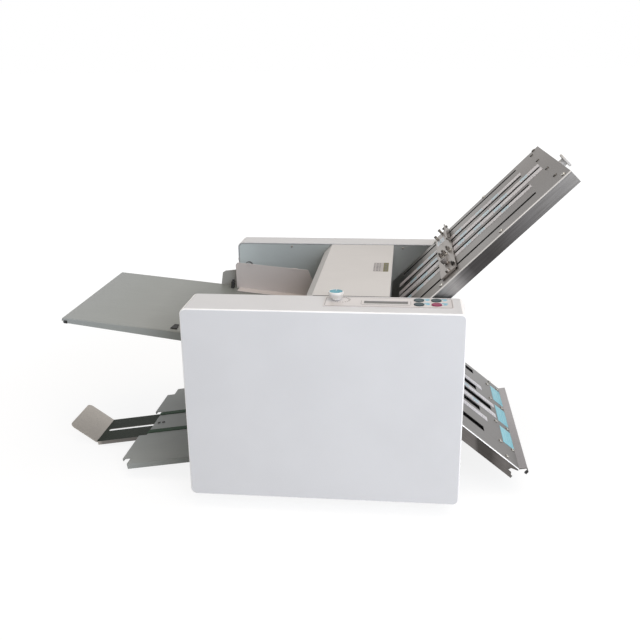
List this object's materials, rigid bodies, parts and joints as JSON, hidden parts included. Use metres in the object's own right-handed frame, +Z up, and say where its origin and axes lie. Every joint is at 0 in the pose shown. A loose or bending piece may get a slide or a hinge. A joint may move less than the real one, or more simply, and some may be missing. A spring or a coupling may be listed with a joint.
{
  "type": "paper folding machine",
  "caption": "Desk paper folder: two white housings, sloping feed table, hinged centre cover, upper and lower slotted fold plates, control panel, and a belt delivery tray with a sliding arm.",
  "frame": {"origin": "on the bench under the middle of the machine's box", "axes": "+X along the paper's way, from the feed table towards the folding plates; +Y from the control panel's housing towards the rear housing; +Z up"},
  "size_m": [0.8227, 0.4678, 0.5103],
  "materials": {
    "white_powder_coat": "fine textured satin paint",
    "grey_frame_paint": "satin paint",
    "grey_table_paint": "satin paint",
    "cream_cover_paint": "satin paint",
    "stainless_sheet": "brushed",
    "bare_steel": "turned",
    "zinc_screw": "zinc plated",
    "sintered_bronze": "sintered",
    "black_rubber": "matt",
    "green_belt": "woven-backed belt",
    "black_belt": "toothed belt",
    "white_moulding": "moulded",
    "dark_key": "moulded",
    "red_key": "moulded",
    "panel_film": "screen printed film",
    "display_glass": "clear over grey display",
    "green_board": "circuit board",
    "black_motor": "black enamel",
    "acetal_gear": "cut acetal",
    "scale_film": "printed film",
    "cyan_label": "plain film",
    "black_plastic": "moulded",
    "grey_steel_guide": "brushed"
  },
  "bodies": {
    "chassis": {"front_side_frame": "grey_frame_paint", "rear_side_frame": "grey_frame_paint", "frame_tie_bars": "bare_steel", "base_plate": "grey_frame_paint", "rubber_feet": "black_rubber", "front_cover": "white_powder_coat", "control_overlay": "panel_film", "display_window": "display_glass", "control_board": "green_board", "mains_inlet": "black_plastic", "rear_cover": "white_powder_coat", "power_board": "green_board", "cover_screws": "zinc_screw", "roller_bearings": "sintered_bronze", "feed_motor": "black_motor", "main_motor": "black_motor", "tray_idler": "bare_steel", "delivery_belts": "green_belt", "drive_belts": "black_belt", "tray_screws": "zinc_screw", "feed_table": "grey_table_paint", "separator_pad": "black_rubber", "paper_chute": "stainless_sheet", "upper_plate_face": "stainless_sheet", "upper_plate_back": "stainless_sheet", "upper_end_bar": "bare_steel", "lower_plate_face": "stainless_sheet", "lower_plate_back": "stainless_sheet", "plate_scales": "scale_film", "lower_plate_labels": "cyan_label", "plate_screws": "zinc_screw", "delivery_tray": "grey_table_paint", "frame_studs": "bare_steel"},
    "main_roller": {"fold_roller_2": "bare_steel", "fold_gear_2": "acetal_gear", "roller_pulley": "bare_steel"},
    "infeed_roller": {"fold_roller_1": "bare_steel", "fold_gear_1": "acetal_gear"},
    "upper_roller": {"fold_roller_3": "bare_steel", "fold_gear_3": "acetal_gear"},
    "exit_roller": {"fold_roller_4": "bare_steel", "fold_gear_4": "acetal_gear"},
    "motor_rotor": {"motor_pulley": "bare_steel"},
    "feed_roller": {"feed_roller": "black_rubber"},
    "delivery_roller": {"delivery_roller": "bare_steel"},
    "centre_cover": {"centre_cover": "cream_cover_paint"},
    "speed_knob": {"speed_knob": "white_moulding"},
    "key_1": {"key_1": "dark_key"},
    "key_2": {"key_2": "dark_key"},
    "key_3": {"key_3": "dark_key"},
    "key_4": {"key_4": "red_key"},
    "power_rocker": {"power_rocker": "black_plastic"},
    "upper_stop": {"upper_stop": "stainless_sheet"},
    "lower_stop": {"lower_stop": "stainless_sheet"},
    "end_knob": {"end_knob": "white_moulding"},
    "far_guide": {"far_guide": "grey_steel_guide"},
    "near_guide": {"near_guide": "grey_steel_guide"},
    "far_guide_knob": {"far_guide_knob": "black_plastic"},
    "near_guide_knob": {"near_guide_knob": "black_plastic"},
    "delivery_arm": {"delivery_arm": "stainless_sheet"}
  },
  "joints": [
    {"name": "main_roller_spin", "type": "hinge", "parent": "chassis", "child": "main_roller", "pos_m": [0.10108, 0.0001, 0.214], "axis": [0, 1, 0], "continuous": true},
    {"name": "infeed_roller_spin", "type": "hinge", "parent": "chassis", "child": "infeed_roller", "pos_m": [0.08508, 0.0001, 0.24171], "axis": [0, 1, 0], "continuous": true},
    {"name": "upper_roller_spin", "type": "hinge", "parent": "chassis", "child": "upper_roller", "pos_m": [0.12629, 0.0001, 0.2337], "axis": [0, 1, 0], "continuous": true},
    {"name": "exit_roller_spin", "type": "hinge", "parent": "chassis", "child": "exit_roller", "pos_m": [0.12078, 0.0001, 0.18878], "axis": [0, 1, 0], "continuous": true},
    {"name": "motor_spin", "type": "hinge", "parent": "chassis", "child": "motor_rotor", "pos_m": [0.12708, 0.0001, 0.103], "axis": [0, 1, 0], "continuous": true},
    {"name": "feed_roller_spin", "type": "hinge", "parent": "chassis", "child": "feed_roller", "pos_m": [0.04108, 0.0001, 0.24971], "axis": [0, 1, 0], "continuous": true},
    {"name": "delivery_roller_spin", "type": "hinge", "parent": "chassis", "child": "delivery_roller", "pos_m": [0.07108, 0.0001, 0.07499], "axis": [0, 1, 0], "continuous": true},
    {"name": "cover_hinge", "type": "hinge", "parent": "chassis", "child": "centre_cover", "pos_m": [0.14258, 0.0001, 0.312], "axis": [0, 1, 0], "range_deg": [0, 100]},
    {"name": "speed_turn", "type": "hinge", "parent": "chassis", "child": "speed_knob", "pos_m": [0.07208, -0.1799, 0.3202], "axis": [0, 0, 1], "range_deg": [-140, 140]},
    {"name": "key_1_press", "type": "slide", "parent": "chassis", "child": "key_1", "axis": [0, 0, -1], "range_m": [0, 0.001], "stiffness_N_per_m": 400, "springref_m": -0.0005},
    {"name": "key_2_press", "type": "slide", "parent": "chassis", "child": "key_2", "axis": [0, 0, -1], "range_m": [0, 0.001], "stiffness_N_per_m": 400, "springref_m": -0.0005},
    {"name": "key_3_press", "type": "slide", "parent": "chassis", "child": "key_3", "axis": [0, 0, -1], "range_m": [0, 0.001], "stiffness_N_per_m": 400, "springref_m": -0.0005},
    {"name": "key_4_press", "type": "slide", "parent": "chassis", "child": "key_4", "axis": [0, 0, -1], "range_m": [0, 0.001], "stiffness_N_per_m": 400, "springref_m": -0.0005},
    {"name": "power_rocker_tilt", "type": "hinge", "parent": "chassis", "child": "power_rocker", "pos_m": [-0.10192, 0.2261, 0.071], "axis": [1, 0, 0], "range_deg": [0, 16]},
    {"name": "upper_stop_slide", "type": "slide", "parent": "chassis", "child": "upper_stop", "axis": [0.7046, 0, 0.7096], "range_m": [-0.094, 0.162]},
    {"name": "lower_stop_slide", "type": "slide", "parent": "chassis", "child": "lower_stop", "axis": [0.7804, 0, -0.6252], "range_m": [-0.042, 0.108]},
    {"name": "end_knob_turn", "type": "hinge", "parent": "chassis", "child": "end_knob", "pos_m": [0.39587, -0.0459, 0.49517], "axis": [0.7046, 0, 0.7096], "continuous": true},
    {"name": "far_guide_slide", "type": "slide", "parent": "chassis", "child": "far_guide", "axis": [0, 1, 0], "range_m": [-0.075, 0.003]},
    {"name": "near_guide_slide", "type": "slide", "parent": "chassis", "child": "near_guide", "axis": [0, 1, 0], "range_m": [-0.04, 0.04]},
    {"name": "far_guide_knob_turn", "type": "hinge", "parent": "far_guide", "child": "far_guide_knob", "pos_m": [-0.1155, 0.1271, 0.28726], "axis": [0, 1, 0], "range_deg": [0, 270]},
    {"name": "near_guide_knob_turn", "type": "hinge", "parent": "near_guide", "child": "near_guide_knob", "pos_m": [-0.1155, -0.0869, 0.28726], "axis": [0, 1, 0], "range_deg": [0, 270]},
    {"name": "arm_slide", "type": "slide", "parent": "chassis", "child": "delivery_arm", "axis": [0.9866, 0, 0.1633], "range_m": [-0.02, 0.085]}
  ],
  "couplings": [
    {"joint": "infeed_roller_spin", "follows": "main_roller_spin", "ratio": -1},
    {"joint": "upper_roller_spin", "follows": "main_roller_spin", "ratio": -1},
    {"joint": "exit_roller_spin", "follows": "main_roller_spin", "ratio": -1},
    {"joint": "motor_spin", "follows": "main_roller_spin", "ratio": 1.5556},
    {"joint": "delivery_roller_spin", "follows": "main_roller_spin", "ratio": -1}
  ]
}
